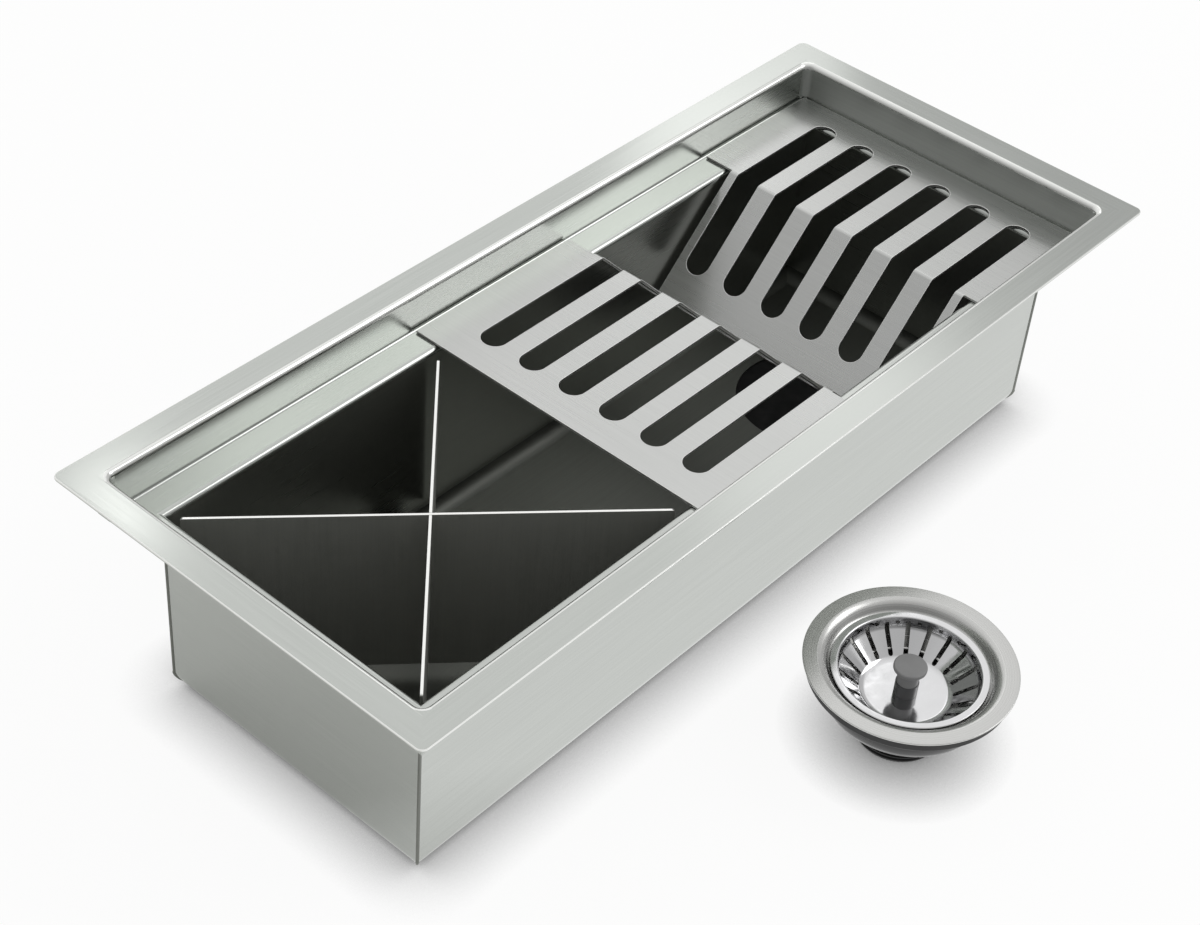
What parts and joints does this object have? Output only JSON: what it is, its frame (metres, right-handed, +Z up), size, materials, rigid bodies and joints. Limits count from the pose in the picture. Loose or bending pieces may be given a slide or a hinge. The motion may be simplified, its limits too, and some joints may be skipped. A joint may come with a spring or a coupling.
{
  "type": "wet trough",
  "caption": "Narrow stainless steel worktop trough with a stepped rim, slotted V-shaped drainer trays, a cross divider and a separate basket waste valve",
  "frame": {"origin": "on the axis of the drain hole, at the trough's underside", "axes": "+X along the trough towards the right tray, +Y towards its back, +Z up"},
  "size_m": [0.6, 0.3885, 0.147],
  "materials": {
    "trough_steel": "brushed stainless steel sheet, grain along each side",
    "tray_steel": "brushed stainless steel sheet, grain along the trough",
    "divider_steel": "brushed stainless steel sheet with bright cut edges",
    "flange_steel": "stainless steel brushed in rings",
    "basket_chrome": "polished stainless steel",
    "screw_steel": "plain stainless steel",
    "gasket_rubber": "black rubber",
    "body_plastic": "black moulded plastic, slightly glossy",
    "knob_plastic": "grey moulded plastic",
    "seal_rubber": "black rubber"
  },
  "bodies": {
    "trough": {"front_panel": "trough_steel", "back_panel": "trough_steel", "left_end_panel": "trough_steel", "right_end_panel": "trough_steel", "floor_pan": "trough_steel"},
    "left_tray": {"left_drainer_tray": "tray_steel"},
    "right_tray": {"right_drainer_tray": "tray_steel"},
    "divider": {"divider_plate": "divider_steel", "divider_cross_plate": "divider_steel"},
    "valve": {"valve_flange": "flange_steel", "flange_gasket": "gasket_rubber", "valve_body": "body_plastic", "clamp_screw": "screw_steel"},
    "basket": {"strainer_basket": "basket_chrome", "basket_knob": "knob_plastic", "stopper_seal": "seal_rubber"}
  },
  "joints": [
    {"name": "left_tray_slide", "type": "slide", "parent": "trough", "child": "left_tray", "axis": [1, 0, 0], "range_m": [-0.12, 0]},
    {"name": "right_tray_lift", "type": "slide", "parent": "trough", "child": "right_tray", "axis": [0, 0, 1], "range_m": [0, 0.12]},
    {"name": "divider_lift", "type": "slide", "parent": "trough", "child": "divider", "axis": [0, 0, 1], "range_m": [0, 0.16]},
    {"name": "valve_lift", "type": "slide", "parent": "trough", "child": "valve", "axis": [0, 0, 1], "range_m": [0, 0.1]},
    {"name": "basket_lift", "type": "slide", "parent": "valve", "child": "basket", "axis": [0, 0, 1], "range_m": [0, 0.045]}
  ]
}
